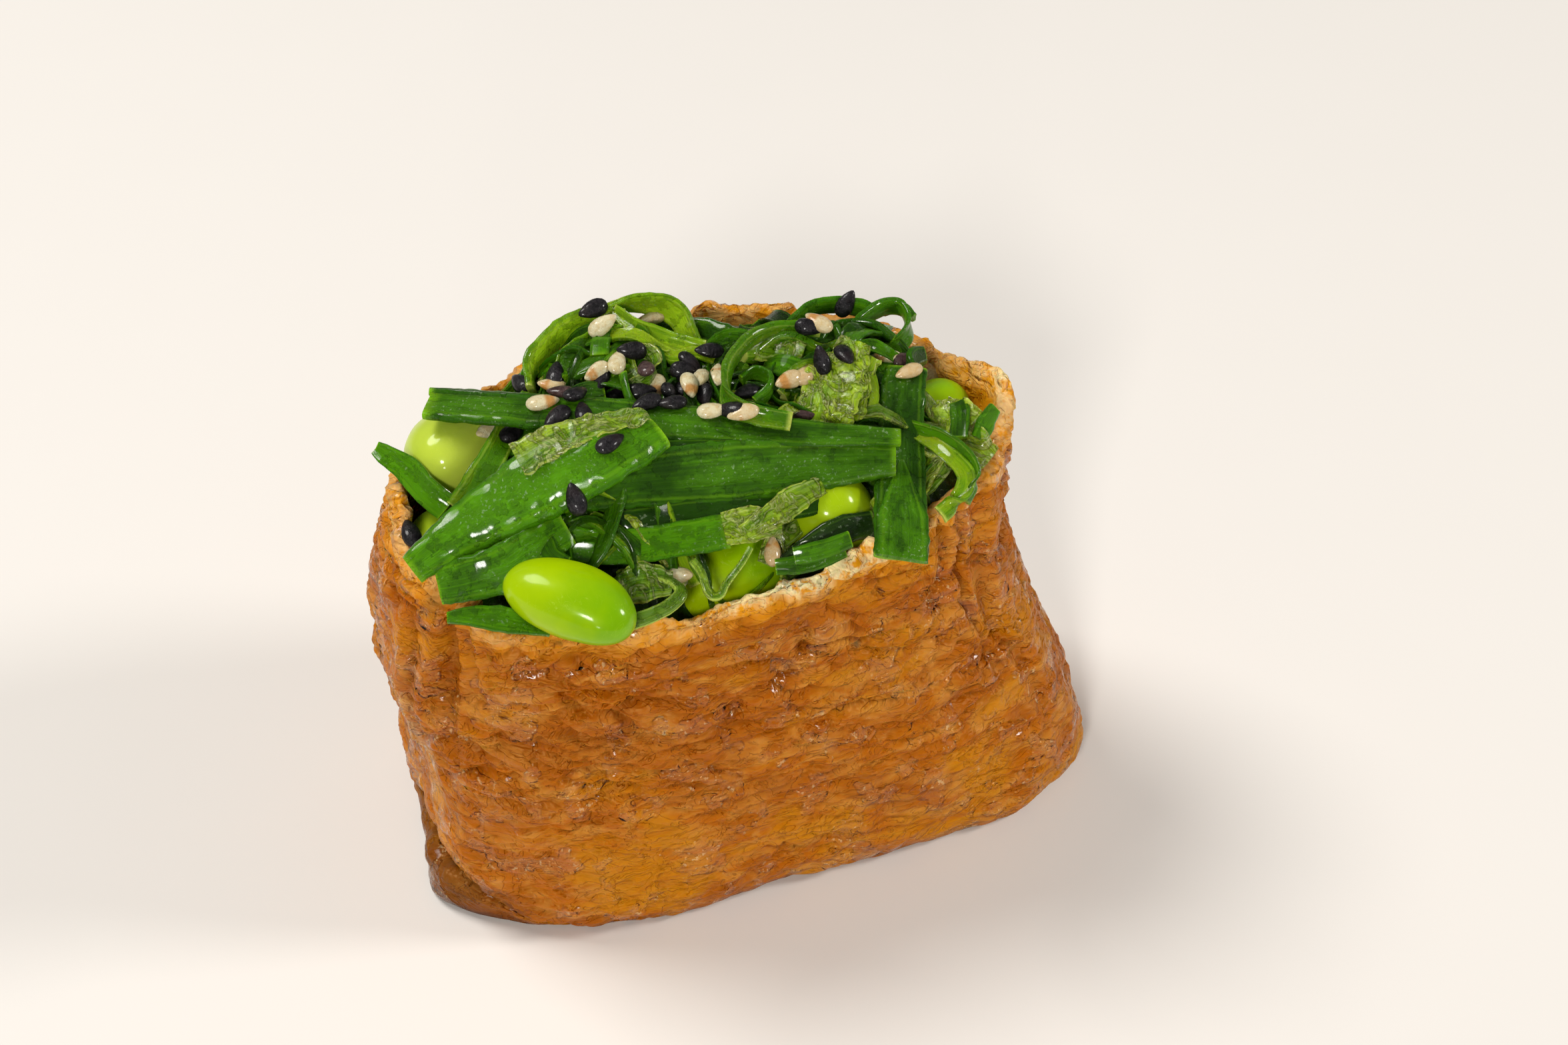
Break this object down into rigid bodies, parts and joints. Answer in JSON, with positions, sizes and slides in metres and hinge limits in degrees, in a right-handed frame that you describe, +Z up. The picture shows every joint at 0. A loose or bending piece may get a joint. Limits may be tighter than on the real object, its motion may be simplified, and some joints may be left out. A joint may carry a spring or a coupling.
{
  "type": "open inari sushi",
  "caption": "Open inari sushi: an upright pouch of fried tofu filled with seaweed salad and green soybeans.",
  "frame": {"origin": "middle of the object's box, on the surface that the pouch stands on", "axes": "+X along the pouch towards the end with the pinched ear, -Y out of the front wall, +Z up"},
  "size_m": [0.0684, 0.0402, 0.0506],
  "materials": {
    "fried_tofu": "moist, satin",
    "seaweed_dark": "wet, glossy",
    "seaweed": "wet, glossy",
    "soybean": "wet, glossy"
  },
  "bodies": {
    "root": {"pouch": "fried_tofu", "salad": "seaweed_dark", "bean_front": "soybean", "bean_left": "soybean", "bean_low_left": "soybean", "bean_centre": "soybean", "bean_low_front": "soybean", "bean_right": "soybean", "blade_long": "seaweed", "blade_broad": "seaweed", "blade_cross": "seaweed", "blade_right": "seaweed_dark", "strip_turned": "seaweed", "leaf_rim": "seaweed", "strip_dark": "seaweed_dark", "curl_right": "seaweed", "curl_left": "seaweed", "strip_light": "seaweed", "loop_back_left": "seaweed", "curl_middle": "seaweed", "loop_back_right": "seaweed", "frill_standing": "seaweed"}
  },
  "joints": []
}
